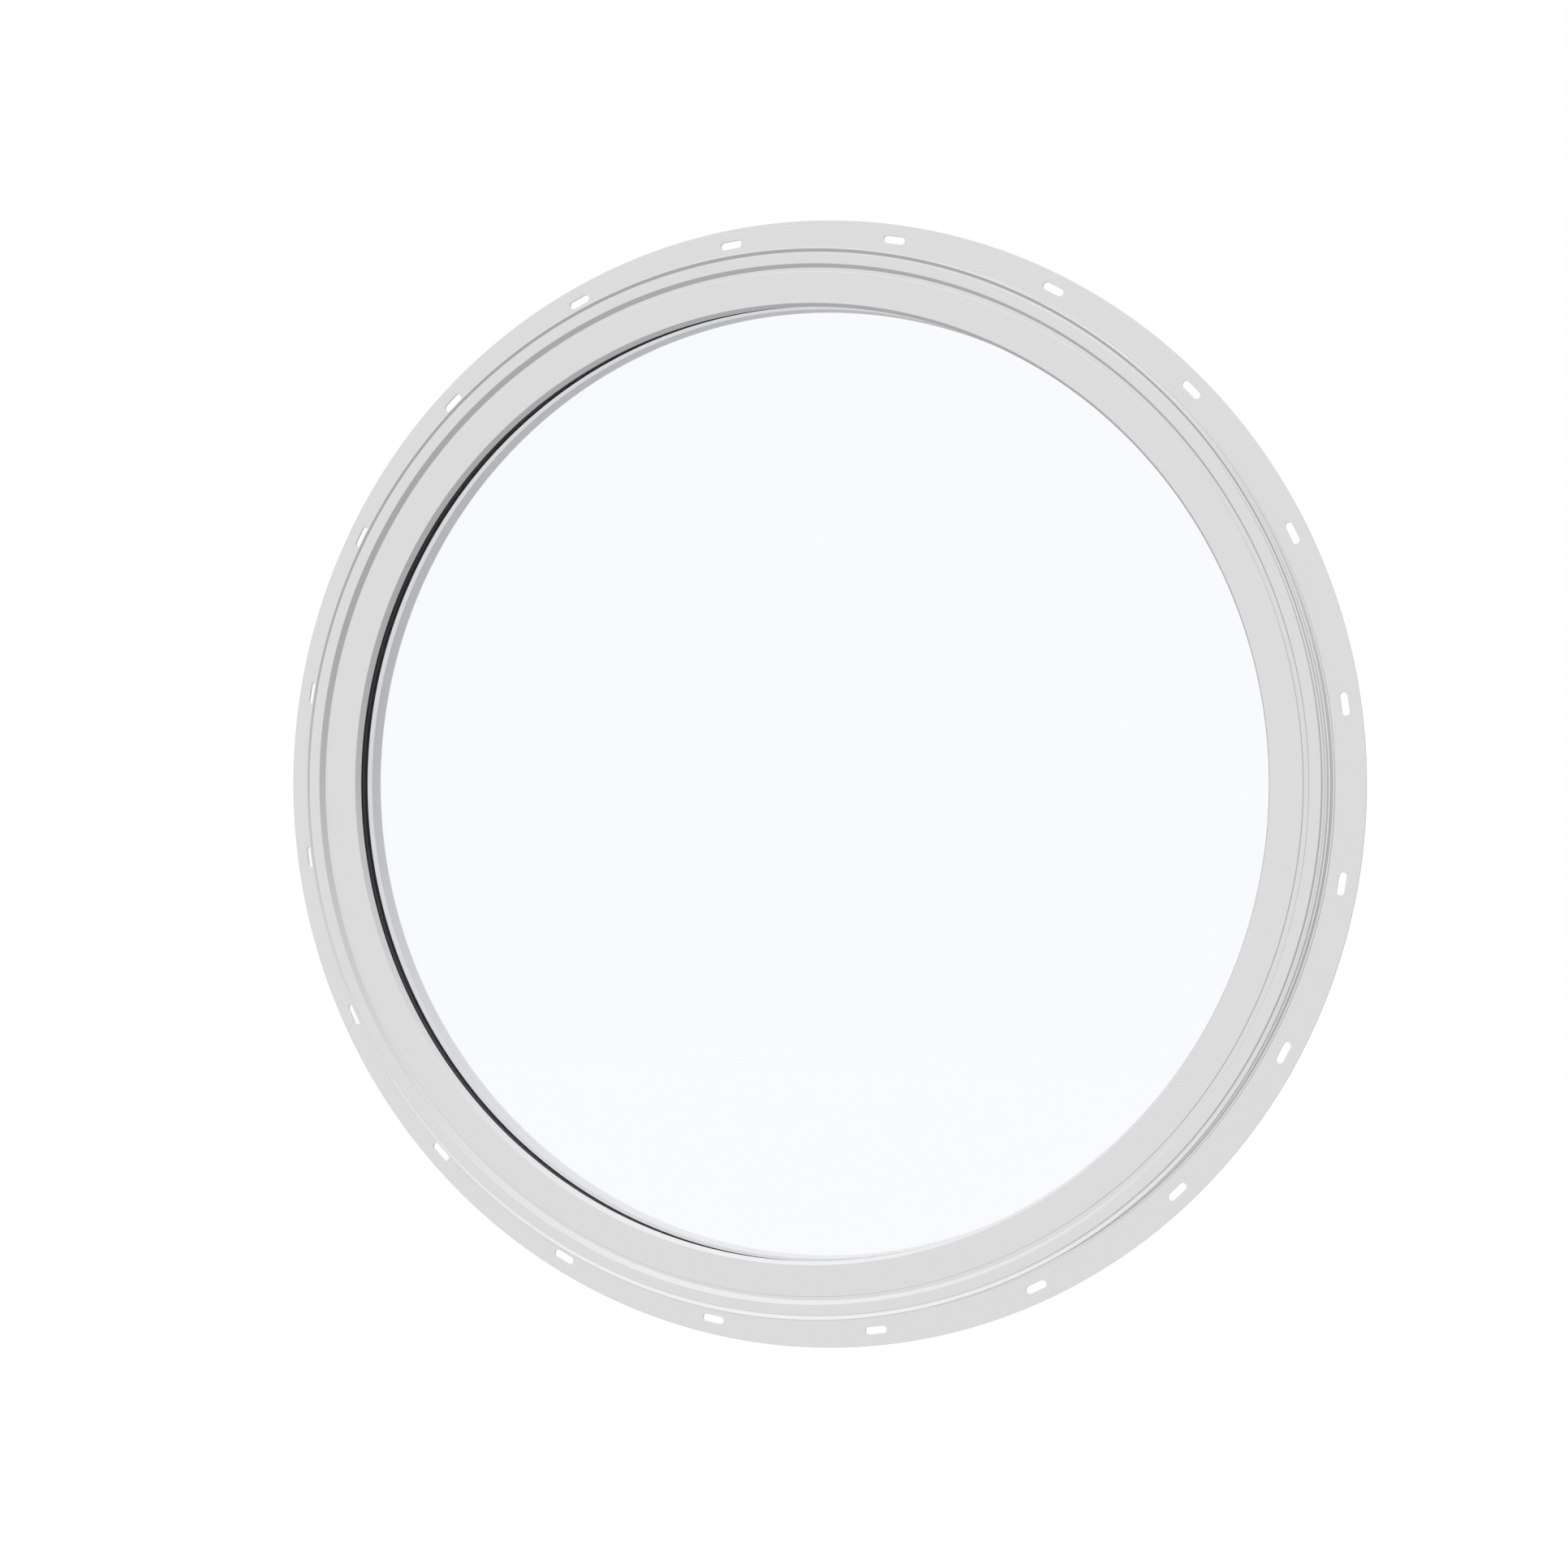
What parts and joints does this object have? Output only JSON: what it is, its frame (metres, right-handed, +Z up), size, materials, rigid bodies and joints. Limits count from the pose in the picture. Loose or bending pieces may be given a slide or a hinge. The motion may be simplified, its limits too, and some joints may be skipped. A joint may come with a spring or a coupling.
{
  "type": "porthole window",
  "caption": "Fixed round window: white vinyl ring frame with a slotted nailing fin, a wide glazing bead and a sealed clear double pane with a black spacer.",
  "frame": {"origin": "on the window's axis, in the plane of the wall that the fin's back lies against", "axes": "+Y along the window's axis into the building, the weather side faces -Y, +Z up"},
  "size_m": [0.9651, 0.0544, 0.9652],
  "materials": {
    "white_vinyl": "satin white vinyl",
    "clear_glass": "clear float glass",
    "black_spacer": "matt black foam",
    "butyl_sealant": "black hot-melt butyl",
    "soft_gasket": "soft pale vinyl",
    "glazing_tape": "white foam tape",
    "block_rubber": "hard black rubber"
  },
  "bodies": {
    "root": {"frame": "white_vinyl", "nail_fin": "white_vinyl", "glazing_bead": "white_vinyl", "outer_pane": "clear_glass", "inner_pane": "clear_glass", "edge_spacer": "black_spacer", "edge_sealant": "butyl_sealant", "bead_gasket": "soft_gasket", "glazing_tape": "glazing_tape", "setting_blocks": "block_rubber", "edge_blocks": "block_rubber"}
  },
  "joints": []
}
